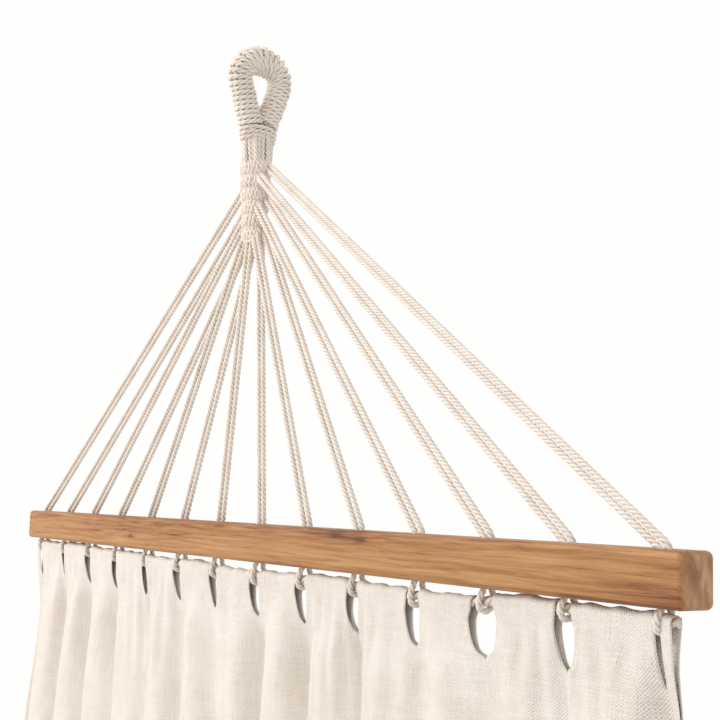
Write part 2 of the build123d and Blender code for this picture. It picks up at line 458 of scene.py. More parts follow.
def wood_material():
    """Oiled hardwood: grain along X, faint rings round a pith in front of the bar on the long faces,
    slanting streaks on the sawn ends, pores and dark streaks.
    """
    material, tree, shader = new_material("bar_wood")
    place, (_, depth, height) = coordinates(tree, "object")
    drift = noise(tree, mapped(tree, place, (1.7, 11, 11)), detail=3, roughness=0.6)
    ring_y = maths(tree, "ADD", depth, PITH_DEPTH)
    part_metre = maths(tree, "FRACT", maths(tree, "ADD", height, 4.0))
    ring_z = maths(tree, "SUBTRACT", part_metre, PITH_HEIGHT)
    square = maths(tree, "MULTIPLY_ADD", ring_z, ring_z, maths(tree, "MULTIPLY", ring_y, ring_y))
    radius = total(tree, (maths(tree, "SQRT", square), 1.0), (drift, 0.05))
    rings = maths(tree, "SINE", maths(tree, "MULTIPLY", radius, 2 * math.pi / RING_PITCH))
    streak = noise(tree, mapped(tree, place, (9, 190, 190)), detail=5, roughness=0.7, distortion=1.2)
    fibre = noise(tree, mapped(tree, place, (16, 950, 950)), detail=3, roughness=0.6)
    broad = noise(tree, mapped(tree, place, (1.3, 26, 26), (4, 2, 1)), detail=3)
    knots = total(tree, *[(knot(tree, place, centre), KNOT_WEIGHT) for centre in KNOTS])
    grain = [(streak, 0.60), (broad, 0.60), (rings, 0.03), (fibre, -0.20)]
    tone = total(tree, *grain, (knots, 1.0))
    face = ramp(tree, tone, [
        (0.33, (0.120, 0.040, 0.013)),
        (0.41, (0.235, 0.092, 0.029)),
        (0.52, (0.350, 0.166, 0.058)),
        (0.68, (0.440, 0.245, 0.102)),
    ])
    normal = tree.nodes.new("ShaderNodeTexCoord").outputs["Normal"]
    facing = tree.nodes.new("ShaderNodeSeparateXYZ")
    tree.links.new(normal, facing.inputs[0])
    sawn = maths(tree, "POWER", maths(tree, "ABSOLUTE", facing.outputs[0]), 3.0)
    slant = maths(tree, "SINE", total(tree, (depth, 260), (height, 150), (drift, 9)))
    end_place = mapped(tree, place, (20, 90, 40), (0, 3, 0))
    end_streak = noise(tree, end_place, detail=4, roughness=0.6, distortion=0.8)
    end_tone = total(tree, (slant, 0.07), (end_streak, 0.75), (fibre, 0.12))
    sawn_colour = ramp(tree, end_tone, [
        (0.25, (0.185, 0.080, 0.034)),
        (0.45, (0.320, 0.160, 0.075)),
        (0.65, (0.500, 0.330, 0.190)),
    ])
    tree.links.new(mixed(tree, sawn, face, sawn_colour), shader.inputs["Base Color"])
    relief = total(tree, (fibre, 0.7), (streak, 0.5))
    tree.links.new(bump(tree, relief, strength=0.2, distance=0.0006), shader.inputs["Normal"])
    tree.links.new(maths(tree, "MULTIPLY_ADD", fibre, 0.22, 0.40), shader.inputs["Roughness"])
    shader.inputs["Specular IOR Level"].default_value = 0.3
    return material


# Light, middle and dark colours of each cord
CORD = rope_material("cord", (0.775, 0.70, 0.625), (0.63, 0.545, 0.46), (0.31, 0.235, 0.165))
# Painted shade: the hem rope gets a darker copy of the cord colours, for the shade it lies in inside the
# header.
SHADED_HEM_CORD = rope_material("hem_cord_painted_shade", (0.68, 0.59, 0.48), (0.48, 0.39, 0.29), (0.20, 0.14, 0.09))
CANVAS = canvas_material()
WOOD = wood_material()
THREAD = rope_material(
    "seam_thread", (0.60, 0.54, 0.46), (0.46, 0.40, 0.32), (0.26, 0.21, 0.15), strands=2
)


# ---------------------------------------------------------------------------------------------
# Eye: a loop in the YZ plane, whipped with cord, and a collar of three turns that seizes its legs

WHIP_HALF = (whip_high.x - whip_low.x) / 2
WHIP_CORD_RADIUS = 2.95 * MM
WHIP_LAY = 21 * MM
LEG_OFFSET = 9.5 * MM
BEND_RADIUS = whip_high.y - WHIP_HALF
BEND_Z = whip_high.z - WHIP_HALF - BEND_RADIUS
# Thickness and spacing of the wraps, as shares of the cord's, and how much both grow over the bend
WRAP_SIZE = 1.03
WRAP_SPACING = 0.95
BEND_GROWTH = 0.16
# Where the bend starts and ends, as shares of the eye's length
BEND_START = (0.26, 0.40)
BEND_END = (0.60, 0.74)
POINTS_PER_TURN = 40
# The whipping is thicker at the crown of the eye, by so much and for this share of its length
CROWN_EXTRA = 2.4 * MM
CROWN_SHARE = 0.10
CORE_OVERLAP = 2.2 * MM
CORE_LAY = 60 * MM
BUNDLE_STRANDS = 9
COLLAR_TURNS = 3
COLLAR_DROOP = 3.5 * MM
COLLAR_RISE = 1.5 * MM
COLLAR_CORD_SHARE = 0.94
# How tight the collar's top turn is, how much tighter its lowest, and how square all are (1 is oval)
COLLAR_FIT = 0.95
COLLAR_TAPER = 0.07
COLLAR_SQUARENESS = 0.85


def eye_line():
    """The eye's centre line: up one leg, over the bend and down the other leg."""
    reach = math.hypot(LEG_OFFSET, whip_low.z - BEND_Z)
    tangent = math.atan2(whip_low.z - BEND_Z, LEG_OFFSET) + math.acos(BEND_RADIUS / reach)
    sweep = np.linspace(math.pi - tangent, tangent, 60)
    bend = np.stack([0 * sweep, BEND_RADIUS * np.cos(sweep), BEND_Z + BEND_RADIUS * np.sin(sweep)], -1)
    foot = whip_low.z + WHIP_CORD_RADIUS
    return even_path([[0, -LEG_OFFSET, foot], *bend, [0, LEG_OFFSET, foot]], 0.5 * MM)


def over_bend(marks):
    """1 over the bend of the eye and 0 down its legs."""
    return between(BEND_START, BEND_END, marks)


def whipping_line():
    """The whipping cord's turns round the eye, uneven, and how far along the eye each point is."""
    line = eye_line()
    tangents, _, _ = path_frames(line)
    marks = np.linspace(0, 1, len(line))
    length = steps_of(line).sum()
    spacing = 2 * WHIP_CORD_RADIUS * (WRAP_SPACING + BEND_GROWTH * over_bend(marks))
    turns = np.concatenate([[0], np.cumsum(np.diff(marks) * length / spacing[1:])])
    phase = np.linspace(0, turns[-1], int(turns[-1] * POINTS_PER_TURN))
    along = np.interp(phase, turns, marks)
    centre = np.stack([np.interp(along, marks, line[:, k]) for k in range(3)], -1)
    tangent = unit(np.stack([np.interp(along, marks, tangents[:, k]) for k in range(3)], -1))
    sideways = np.array([1.0, 0.0, 0.0])
    outward = np.cross(tangent, sideways)
    angle = 2 * math.pi * phase
    uneven = 1 + 0.035 * np.sin(2.4 * phase) + 0.025 * np.sin(5.3 * phase + 1)
    crown = np.exp(-(((along - 0.5) / CROWN_SHARE) ** 2))
    centre[:, 2] -= CROWN_EXTRA * crown
    reach = (WHIP_HALF - WHIP_CORD_RADIUS) * uneven + CROWN_EXTRA * crown
    ring = np.cos(angle)[:, None] * outward + np.sin(angle)[:, None] * sideways
    path = even_path(centre + ring * reach[:, None], 0.9 * MM)
    return path, np.interp(np.linspace(0, 1, len(path)), np.linspace(0, 1, len(along)), along)


def make_eye():
    """The bundle of cords inside the eye, and the whipping cord round it."""
    builder = Builder()
    core_radius = WHIP_HALF - 2 * WHIP_CORD_RADIUS + CORE_OVERLAP
    add_rope(builder, eye_line(), core_radius, CORE_LAY, strands=BUNDLE_STRANDS)
    path, marks = whipping_line()
    radius = WHIP_CORD_RADIUS * (WRAP_SIZE + BEND_GROWTH * over_bend(marks))
    add_rope(builder, path, radius, WHIP_LAY)
    both_ends("eye_whipping", builder.mesh("eye"), CORD, ["eye"], ["eye_whipping", "eye_core"])


def make_collar():
    """Three turns of cord side by side, each drooping a little at the eye's two legs."""
    builder = Builder()
    cord_radius = COLLAR_CORD_SHARE * WHIP_CORD_RADIUS
    half_x = collar_high.x - cord_radius
    half_y = collar_high.y - cord_radius
    angle = np.linspace(math.pi, 3 * math.pi, 160)
    for turn in range(COLLAR_TURNS):
        share = turn / (COLLAR_TURNS - 1)
        z = collar_high.z - cord_radius - share * (collar_high.z - collar_low.z - 2 * cord_radius)
        tight = COLLAR_FIT - COLLAR_TAPER * share
        x = tight * half_x * np.sign(np.cos(angle)) * np.abs(np.cos(angle)) ** COLLAR_SQUARENESS
        y = tight * half_y * np.sign(np.sin(angle)) * np.abs(np.sin(angle)) ** COLLAR_SQUARENESS
        droop = COLLAR_DROOP * np.sin(angle) ** 2
        ring = np.stack([x, y, z + COLLAR_RISE - droop], -1)
        add_rope(builder, even_path(ring, 0.9 * MM), cord_radius, WHIP_LAY, turn=turn)
    both_ends("collar", builder.mesh("collar"), CORD, ["eye"], ["collar"])


# ---------------------------------------------------------------------------------------------
# Neck and clew: cords that spread from the collar, then six rows of slanting strands on weft turns

NECK_CORDS = 22
NECK_IN_COLLAR = 7 * MM
NECK_IN_CLEW = 6 * MM
NECK_LAY = 19 * MM
NECK_CORE_RADIUS = 12 * MM
NECK_CORE_LAY = 90 * MM
# Half the width and depth of the bunch of cords at the collar, and what each has gained at the clew
NECK_HALF_X, NECK_HALF_Y = 11.5 * MM, 18.0 * MM
NECK_GAIN_X, NECK_GAIN_Y = 5.5 * MM, -2.8 * MM
# Ranges of how far a cord leans in radians, how tight it lies, and its radius in mm
NECK_LEANS = (-0.16, 0.16)
NECK_FITS = (0.88, 1.04)
NECK_RADII = (2.5, 3.2)
CLEW_ROWS = 6
CLEW_TOP = (44 * MM, 38 * MM)
CLEW_BOTTOM = (33 * MM, 24 * MM)
CLEW_INSET = 4.5 * MM
ROW_HEIGHT = (clew_high.z - clew_low.z) / CLEW_ROWS
CLEW_STRAND_RADIUS = 2.9 * MM
CLEW_STRAND_LAY = 17 * MM
# The strands of a row lie this far apart, in radii, and are longer than the row is high
CLEW_STRAND_SPACING = 1.75
ROW_RISE = 1.5 * MM
ROW_EXTRA = 3.0 * MM
# A strand lies this deep at its middle and so much deeper at its ends
CLEW_STRAND_INSET = 2.4 * MM
CLEW_STRAND_PUFF = 5.2 * MM
# Ranges of how far a strand leans in radians, how much it puffs out, and its size
CLEW_STRAND_LEANS = (0.22, 0.42)
CLEW_STRAND_PUFFS = (0.8, 1.25)
CLEW_STRAND_SIZES = (0.88, 1.16)
WEFT_RADIUS = 2.3 * MM
WEFT_LAY = 12 * MM
CLEW_SIDES = 32
CLEW_RINGS = 24


def clew_size(z):
    """Width and depth of the clew at height z."""
    share = np.clip((clew_high.z - z) / (clew_high.z - clew_low.z), 0, 1)
    return [top + share * (bottom - top) for top, bottom in zip(CLEW_TOP, CLEW_BOTTOM)]


def make_neck():
    """Cords that leave the collar in a bunch and open out to the top of the clew."""
    builder = Builder()
    top, bottom = collar_low.z + NECK_IN_COLLAR, clew_high.z - NECK_IN_CLEW
    core = even_path([[0, 0, top], [0, 0, bottom]], 4 * MM)
    add_rope(builder, core, NECK_CORE_RADIUS, NECK_CORE_LAY, strands=BUNDLE_STRANDS)
    for k in range(NECK_CORDS):
        angle = 2 * math.pi * (k + 0.4 * rng.random()) / NECK_CORDS
        lean = rng.uniform(*NECK_LEANS)
        tight = rng.uniform(*NECK_FITS)
        points = []
        for share in np.linspace(0, 1, 5):
            turned = angle + lean * share
            x = tight * (NECK_HALF_X + NECK_GAIN_X * share) * math.cos(turned)
            y = tight * (NECK_HALF_Y + NECK_GAIN_Y * share) * math.sin(turned)
            points.append([x, y, top + share * (bottom - top)])
        radius = rng.uniform(*NECK_RADII) * MM
        add_rope(builder, soft_path(points, 1.6 * MM), radius, NECK_LAY, turn=rng.uniform(0, 6))
    both_ends(
        "neck_cords", builder.mesh("neck"), CORD, ["eye", "rigging"], ["neck_cords"],
        start=(0, 0, collar_low.z + 3 * MM),
    )


def oval(width, depth, angle, z):
    """Points round a level oval."""
    return np.stack([width / 2 * np.cos(angle), depth / 2 * np.sin(angle), z + 0 * angle], -1)


def make_clew():
    """Six puffed rows of narrow slanting strands over a core, with a weft turn under each row."""
    builder = Builder()
    sides = np.linspace(0, 2 * math.pi, CLEW_SIDES, endpoint=False)
    rings = []
    for z in np.linspace(clew_high.z - 2 * MM, clew_low.z + 2 * MM, CLEW_RINGS):
        width, depth = clew_size(z)
        rings.append(oval(width - 2 * CLEW_INSET, depth - 2 * CLEW_INSET, sides, z))
    u_low = np.arange(CLEW_SIDES) / CLEW_SIDES
    rows_down = np.arange(CLEW_RINGS) / 4
    builder.add_grid(np.array(rings), u_low, u_low + 1 / CLEW_SIDES, rows_down)
    for row in range(CLEW_ROWS):
        top = clew_high.z - row * ROW_HEIGHT
        add_clew_row(builder, row, top)
        width, depth = clew_size(top - ROW_HEIGHT)
        angle = np.linspace(0, 2 * math.pi, 60)
        weft = oval(width - 2 * CLEW_INSET, depth - 2 * CLEW_INSET, angle, top - ROW_HEIGHT)
        add_rope(builder, even_path(weft, 1.4 * MM), WEFT_RADIUS, WEFT_LAY)
    both_ends("woven_clew", builder.mesh("clew"), CORD, ["rigging"], ["woven_clew"])


def add_clew_row(builder, row, top):
    """One row: strands side by side round the clew, all leaning the same way by uneven amounts."""
    width, depth = clew_size(top - ROW_HEIGHT / 2)
    around = math.pi * (width + depth) / 2
    count = int(around / (CLEW_STRAND_SPACING * CLEW_STRAND_RADIUS) / 2) * 2
    for k in range(count):
        angle = 2 * math.pi * (k + 0.5 * (row % 2) + rng.uniform(-0.1, 0.1)) / count
        lean = rng.uniform(*CLEW_STRAND_LEANS)
        puff = rng.uniform(*CLEW_STRAND_PUFFS)
        points = []
        for share in np.linspace(0, 1, 7):
            turned = angle + lean * (0.5 - share)
            inset = CLEW_STRAND_INSET + CLEW_STRAND_PUFF * abs(2 * share - 0.9) ** 2.2 * puff
            z = top + ROW_RISE - share * (ROW_HEIGHT + ROW_EXTRA)
            x = (width / 2 - inset) * math.cos(turned)
            points.append([x, (depth / 2 - inset) * math.sin(turned), z])
        radius = rng.uniform(*CLEW_STRAND_SIZES) * CLEW_STRAND_RADIUS
        add_rope(builder, soft_path(points, 1.4 * MM), radius, CLEW_STRAND_LAY, turn=rng.uniform(0, 6))


# ---------------------------------------------------------------------------------------------
# Doubled cords: two strands side by side, straight from the clew to each hole of the bar

CORD_LAY = 16.5 * MM
STRAND_SPACING = 2 * CORD_RADIUS + 0.1 * MM
# Where the cords leave the clew: how deep, in front or behind, and how far apart down each side
EXIT_INSET = 3 * MM
EXIT_LAYER = 5 * MM
EXIT_STEP = 13 * MM
RIGHT_EXIT_Z = clew_high.z - 5 * MM
RIGHT_PAIR_STEP = 34 * MM
RIGHT_SIDE_CORDS = 6
LEFT_EXIT_Z = clew_high.z - 28 * MM
LEFT_PAIR_STEP = 38 * MM
LEFT_SIDE_CORDS = 4
BOTTOM_EXIT_SPACING = 6.8 * MM
BOTTOM_EXIT_SHIFT = -2 * MM
# The two strands of a cord lie beside each other, tilted this far out of the plane of the fan
PAIR_TILT = math.radians(24)
# A cord runs straight from this far below its exit to this far above its hole
STRAIGHT_FROM = 12 * MM
STRAIGHT_TO = 14 * MM
CORD_END_Z = BAR_TOP - 22 * MM


def cord_exit(i):
    """Where cord i leaves the clew: in pairs down its two sides, and the last four from its bottom."""
    y = EXIT_LAYER if i % 2 else -EXIT_LAYER
    from_right = CORD_COUNT - 1 - i
    if from_right < RIGHT_SIDE_CORDS:
        pair, second = divmod(from_right, 2)
        z = RIGHT_EXIT_Z - pair * RIGHT_PAIR_STEP - second * EXIT_STEP
        return np.array([clew_size(z)[0] / 2 - EXIT_INSET, y, z])
    if i < LEFT_SIDE_CORDS:
        pair, second = divmod(i, 2)
        z = LEFT_EXIT_Z - pair * LEFT_PAIR_STEP - second * EXIT_STEP
        return np.array([EXIT_INSET - clew_size(z)[0] / 2, y, z])
    bottom_cords = CORD_COUNT - RIGHT_SIDE_CORDS - LEFT_SIDE_CORDS
    place = i - LEFT_SIDE_CORDS - (bottom_cords - 1) / 2
    return np.array([place * BOTTOM_EXIT_SPACING + BOTTOM_EXIT_SHIFT, y, clew_low.z + CORD_RADIUS])


def make_doubled_cord(i):
    """Cord i: out of the weave, straight to its hole, and down into the bar."""
    start = cord_exit(i)
    hole = np.array([HOLES[i], 0, BAR_TOP])
    run = unit(hole - start)
    across = unit(np.cross(run, [0, 1, 0]))
    across = across * np.sign(across[0])
    tilt = PAIR_TILT + rng.uniform(-0.12, 0.12)
    beside = math.cos(tilt) * across + math.sin(tilt) * np.array([0, 1, 0])
    inside = np.array([start[0] * 0.55, start[1] * 0.6, start[2] + 9 * MM])
    builder = Builder()
    for side in (-1, 1):
        shift = side * STRAND_SPACING / 2 * beside
        in_hole = np.array([0, side * STRAND_SPACING / 2, 0])
        turning = (shift + in_hole) / 2
        points = [
            inside + shift * 0.7,
            start + shift * 0.9,
            start + run * STRAIGHT_FROM + shift,
            hole - run * STRAIGHT_TO + shift,
            hole + shift * 0.9 + in_hole * 0.2,
            np.array([HOLES[i], 0, BAR_TOP - 10 * MM]) + turning,
            np.array([HOLES[i], 0, CORD_END_Z]) + in_hole,
        ]
        path = soft_path(points, 2.2 * MM)
        lay = CORD_LAY * rng.uniform(0.96, 1.04)
        add_rope(builder, path, CORD_RADIUS, lay, turn=rng.uniform(0, 6))
    name = f"doubled_cord_{i + 1:02d}"
    both_ends(
        name, builder.mesh(name), CORD, ["rigging", "bar"], [name],
        start=(0, 0, BAR_TOP + 22 * MM),
    )


# ---------------------------------------------------------------------------------------------
# Hem rope, and the bights that carry it under the bar

# The rope hangs a little towards one face of the bar, and dips between some of the holes
HEM_SHIFT = -1.5 * MM
TAB_DIPS = [3.0, 2.4, 4.4, 1.4, 1.4, -1.0, 0.9, -3.2, -1.6, 1.0, -1.2, -2.0, 4.4, 3.0, 3.0]
TAB_EDGES = np.concatenate([[-CANVAS_HALF], HOLES, [CANVAS_HALF]])
TAB_MIDDLES = (TAB_EDGES[:-1] + TAB_EDGES[1:]) / 2
HEM_LAY = 26 * MM
BIGHT_OVERLAP = 1.2 * MM


def hem_dip(x):
    """How far the hem rope lies above its mean height at x."""
    share = np.interp(x, TAB_MIDDLES, np.arange(len(TAB_MIDDLES)))
    low = np.floor(share).astype(int)
    high = np.minimum(low + 1, len(TAB_DIPS) - 1)
    dips = np.array(TAB_DIPS) * MM
    return dips[low] + (dips[high] - dips[low]) * smooth(0, 1, share - low)


def make_hem_rope():
    """The thick rope along the header, from one edge of the canvas to the other."""
    x = np.linspace(hem_low.x, hem_high.x - RIGHT_DRAWN_IN, 500)
    path = np.stack([x, 0 * x + HEM_SHIFT, HEM_Z + hem_dip(x)], -1)
    builder = Builder()
    add_rope(builder, even_path(path, 2.4 * MM), HEM_RADIUS, HEM_LAY, per_strand=6)
    both_ends("hem_rope", builder.mesh("hem_rope"), SHADED_HEM_CORD, ["bed"], ["hem_rope"])


def make_bights():
    """Each doubled cord out of its hole, down in front of the hem rope, under it and up behind it."""
    builder = Builder()
    reach = HEM_RADIUS + CORD_RADIUS - BIGHT_OVERLAP
    leg = STRAND_SPACING / 2
    for x in HOLES:
        rope_z = HEM_Z + float(hem_dip(x))
        gap_middle = (BAR_BOTTOM + rope_z) / 2
        slant = rng.uniform(0.5, 3.0) * MM
        points = [
            [x, -leg, CORD_END_Z],
            [x, -leg, BAR_BOTTOM + 3 * MM],
            [x - 0.3 * slant, HEM_SHIFT - 0.55 * reach, gap_middle + 3 * MM],
            [x - 0.8 * slant, HEM_SHIFT - 1.25 * reach, rope_z + 1 * MM],
            [x - slant, HEM_SHIFT - 0.8 * reach, rope_z - 1.25 * reach],
            [x - 0.7 * slant, HEM_SHIFT + 0.8 * reach, rope_z - 1.25 * reach],
            [x, HEM_SHIFT + 1.25 * reach, rope_z + 1 * MM],
            [x + 0.3 * slant, HEM_SHIFT + 0.9 * reach, gap_middle + 2 * MM],
            [x, leg, BAR_BOTTOM + 3 * MM],
            [x, leg, CORD_END_Z],
        ]
        add_rope(builder, soft_path(points, 1.6 * MM), CORD_RADIUS, CORD_LAY, turn=rng.uniform(0, 6))
    both_ends(
        "cord_bights", builder.mesh("bights"), CORD, ["bar", "bed"], ["cord_bights"],
        start=(0, 0, BAR_BOTTOM + 1 * MM),
    )


# ---------------------------------------------------------------------------------------------
# Canvas: one sheet, folded over each hem rope into a slotted header, and gathered into soft folds

CLOTH = 0.9 * MM
CELL = 3.6 * MM
BED_ROWS = 170
HEADER_ROWS = 32
# The header cloth goes round the rope at this radius, and each layer ends this far off the middle
HEADER_RADIUS = HEM_RADIUS + 1.1 * MM
HEADER_GAP = 1.2 * MM
HEADER_LUMP = 0.8 * MM
# How far a slot's foot is below the rope, and half the width of each slot in mm, from the left
SLOT_FOOT = 45 * MM
SLOT_HALF = [6.5, 6.0, 12.0, 8.0, 5.5, 12.0, 12.0, 11.0, 12.0, 11.0, 12.0, 18.0, 11.5, 9.0]
SLOT_NARROWING = 0.28
# The strips beside the outermost slots are drawn back by only this share of the slot
OUTER_SLOT_SHARE = 0.35
LAST_SLOT_SHARE = 0.3
# Folds that start at the slots, and wide waves that take over down the bed
FOLD_DEPTH = 13 * MM
FOLD_SHARE = rng.uniform(0.75, 1.25, CORD_COUNT)
FOLD_PHASE = rng.uniform(0, 2 * math.pi, (6,))
# The folds of the two ends fade out and change face within this distance of the bed's middle
FOLD_CROSSING = 0.5
# One fold: a narrow valley this high over a ridge this low, with uneven flanks that wander
VALLEY_HEIGHT = 1.35
VALLEY_SHARPNESS = 1.5
RIDGE_HEIGHT = 0.42
FOLD_LEAN = 0.35
FOLD_WANDER = 0.9
FOLD_FADE = 0.55
# Metres from the hem rope between which each kind of fold grows, and then fades
FOLDS_GROW, FOLDS_FADE = (0.012, 0.085), (0.25, 0.8)
WANDER_GROWS = (0.1, 0.7)
WAVES_GROW = (0.12, 0.75)
GATHERS_GROW, GATHERS_FADE = (0.0, 0.03), (0.06, 0.20)
DARTS_GROW, DARTS_FADE = (0.02, 0.075), (0.10, 0.26)
# Wide waves: share of the depth, and turns in radians per metre across and down the bed
WIDE_DEPTH = 11 * MM
WIDE_WAVES = [(0.50, 25, 1.1), (0.30, 41, -1.7), (0.28, 61, 2.3), (0.22, 15, 3.3)]
GATHER_DEPTH, GATHER_WIDTH = 1.4 * MM, 33 * MM
DART_DEPTH, DART_WIDTH = 3.0 * MM, 61 * MM
# The left half of the bed gets wider than its hem by this share, within this length
FLARE = 0.075
FLARE_LENGTH = 0.34
RIGHT_DRAWN_IN = 2 * MM


def centre_y(z):
    """The middle plane of the cloth follows the hem ropes: to one face above and the other below."""
    share = (z - MIDDLE_Z) / (HEM_Z - MIDDLE_Z)
    return HEM_SHIFT * np.sign(share) * np.abs(share) ** 0.6


def fold_y(x, z):
    """Folds: a valley under each slot and a ridge under each tab, wider and softer down the bed."""
    from_end = np.abs(np.abs(z - MIDDLE_Z) - (HEM_Z - MIDDLE_Z))
    side = 2 * smooth(-FOLD_CROSSING, FOLD_CROSSING, z - MIDDLE_Z) - 1
    phase = 2 * math.pi * (x - HOLES[0]) / PITCH
    wander = FOLD_WANDER * smooth(*WANDER_GROWS, from_end) * np.sin(1.9 * z + 3.1 * x)
    phase = phase + FOLD_LEAN * side * np.sin(phase) + wander
    valley = VALLEY_HEIGHT * ((1 + np.cos(phase)) / 2) ** VALLEY_SHARPNESS - RIDGE_HEIGHT
    share = np.interp(x, HOLES, FOLD_SHARE)
    grown = smooth(*FOLDS_GROW, from_end) * (1 - FOLD_FADE * smooth(*FOLDS_FADE, from_end))
    near = side * FOLD_DEPTH * share * valley * grown
    *wide_phases, gather_phase, dart_phase = FOLD_PHASE
    wide = 0.0
    for (weight, across, down), wide_phase in zip(WIDE_WAVES, wide_phases):
        wide = wide + weight * np.sin(across * x + down * z + wide_phase)
    far = WIDE_DEPTH * wide * smooth(*WAVES_GROW, from_end)
    gather_bend = 3.6 * np.sin(27 * x) + 12 * z * np.sin(17 * x)
    gathers = np.sin(2 * math.pi * x / GATHER_WIDTH + gather_bend + gather_phase)
    small = GATHER_DEPTH * gathers * between(GATHERS_GROW, GATHERS_FADE, from_end)
    dart_bend = 3.1 * np.sin(11 * x + 7 * z)
    slack = np.sin(2 * math.pi * x / DART_WIDTH + dart_bend + dart_phase)
    dart = DART_DEPTH * slack * between(DARTS_GROW, DARTS_FADE, from_end)
    return near + far + small + dart


def flared(x, z):
    """Where x of the flat cloth goes: the left half opens out and the right edge is drawn in."""
    from_hem = HEM_Z - np.maximum(z, 2 * MIDDLE_Z - z)
    drawn_in = RIGHT_DRAWN_IN * smooth(TAB_EDGES[-3], CANVAS_HALF, x)
    opened = smooth(0.02, FLARE_LENGTH, from_hem) * smooth(0.1, -CANVAS_HALF, x)
    return x * (1 + FLARE * opened) - drawn_in


def slot_half(k, rise):
    """Half the width of slot k, where rise is 0 at its foot, 1 at the hem rope and more above it."""
    rounded = np.sqrt(np.clip(1 - (1 - np.clip(rise, 0, 1)) ** 2, 0, 1))
    open_up = rounded * smooth(0, 0.12, rise)
    return SLOT_HALF[k] * MM * open_up * (1 - SLOT_NARROWING * smooth(0.65, 1.0, rise))


def strip_columns(k, rise):
    """Left and right edge of strip k in every row, drawn back where a slot is open."""
    left_slot = slot_half(k - 1, rise) if k > 0 else 0 * rise
    right_slot = slot_half(k, rise) if k < CORD_COUNT else 0 * rise
    if k == 0 or k == CORD_COUNT - 1:
        right_slot = OUTER_SLOT_SHARE * right_slot
    if k == CORD_COUNT:
        left_slot = LAST_SLOT_SHARE * left_slot
    return TAB_EDGES[k] + left_slot, TAB_EDGES[k + 1] - right_slot


def header_rows(end):
    """Rows from the seam up one side of the header, over the hem rope and down to the seam again.

    Each row is (end, height above the seam, layer, angle over the rope or None)."""
    height = HEM_Z - SEAM_Z
    heights = np.linspace(0, height, HEADER_ROWS)
    front = [(end, h, 1, None) for h in heights[:-1]]
    over = [(end, height, 0, a) for a in np.linspace(0, math.pi, 11)]
    back = [(end, h, -1, None) for h in heights[-2::-1]]
    return front + over + back


def canvas_rows():
    """All rows of the sheet, from the free edge of the upper flap to that of the lower flap.

    A row of the bed is (0, z, 0, None)."""
    heights = np.linspace(SEAM_Z, 2 * MIDDLE_Z - SEAM_Z, BED_ROWS)[1:-1]
    bed = [(0, z, 0, None) for z in heights]
    return header_rows(1) + bed + header_rows(-1)


def row_shape(row, k, shares):
    """Points of one row of strip k, at these shares of its width."""
    end, value, layer, angle = row
    height = HEM_Z - SEAM_Z
    if end == 0:
        x = TAB_EDGES[k] + shares * (TAB_EDGES[k + 1] - TAB_EDGES[k])
        z = value + 0 * x
        y = centre_y(z) + fold_y(x, z)
    else:
        rise = (value - (height - SLOT_FOOT)) / SLOT_FOOT
        left, right = strip_columns(k, np.array(rise))
        x = left + shares * (right - left)
        lumps = np.sin(2 * math.pi * x / (37 * MM) + 2 * np.sin(23 * x))
        lumps = lumps + 0.3 * np.sin(2 * math.pi * x / (15 * MM))
        lift = (hem_dip(x) + HEADER_LUMP * lumps) * (value / height)
        if angle is None:
            closing = 1 - value / height
            spread = HEADER_RADIUS * (1 - closing) ** 1.6 + HEADER_GAP * closing
            offset = layer * spread
            upper_z = SEAM_Z + value + lift
        else:
            offset = HEADER_RADIUS * math.cos(angle)
            upper_z = HEM_Z + lift + HEADER_RADIUS * math.sin(angle)
        z = upper_z if end == 1 else 2 * MIDDLE_Z - upper_z
        y = centre_y(z) + fold_y(x, z) + offset
    return np.stack([flared(x, z), y, z], -1)


def make_canvas():
    """Fifteen strips between the slots, welded into one sheet and given its thickness."""
    rows = canvas_rows()
    builder = Builder()
    for k in range(CORD_COUNT + 1):
        width = TAB_EDGES[k + 1] - TAB_EDGES[k]
        cells = max(5, round(width / CELL))
        shares = np.linspace(0, 1, cells + 1)
        grid = np.array([row_shape(row, k, shares) for row in rows])
        along = run_of(grid[:, cells // 2])
        across = TAB_EDGES[k] + shares * width
        builder.add_grid(grid, across[:-1], across[1:], along, closed=False, caps=False)
    sheet = new_object("canvas_bed_cloth", builder.mesh("canvas"), CANVAS)
    weld = sheet.modifiers.new("weld", "WELD")
    weld.merge_threshold = 0.02 * MM
    shell = sheet.modifiers.new("shell", "SOLIDIFY")
    shell.thickness = CLOTH
    shell.offset = 0
    apply_modifiers(sheet)
    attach(sheet, "bed")
    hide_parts("canvas_bed")
    return sheet


def apply_modifiers(obj):
    """Bakes the object's modifiers into its mesh."""
    bpy.context.view_layer.update()
    evaluated = obj.evaluated_get(bpy.context.evaluated_depsgraph_get())
    mesh = bpy.data.meshes.new_from_object(evaluated)
    obj.modifiers.clear()
    obj.data = mesh


# ---------------------------------------------------------------------------------------------
# Stitching: short stitches on both faces of the cloth

STITCH_LENGTH = 3.4 * MM
STITCH_GAP = 1.4 * MM
STITCH_THREAD = 0.5 * MM
STITCH_SINK = 0.25 * MM
STITCH_POINTS = 6
STITCH_SIDES = 6
SIDE_HEM = 20 * MM
SEAM_DROP = 2.5 * MM


def add_stitch(builder, start, end, radius):
    """One short stitch lying on the cloth, thick in the middle and tucked in at both ends."""
    points = np.linspace(start, end, STITCH_POINTS)
    bulge = np.sin(np.linspace(0.12, 0.88, STITCH_POINTS) * math.pi)
    _, normals, binormals = path_frames(points)
    angle = np.linspace(0, 2 * math.pi, STITCH_SIDES, endpoint=False)
    reach = radius * bulge[:, None]
    rings = points[:, None, :] + (reach * np.cos(angle))[..., None] * normals[:, None, :]
    rings = rings + (reach * np.sin(angle))[..., None] * binormals[:, None, :]
    u_low = np.arange(STITCH_SIDES) / STITCH_SIDES
    builder.add_grid(rings, u_low, u_low + 1 / STITCH_SIDES, np.linspace(0, 1, STITCH_POINTS))


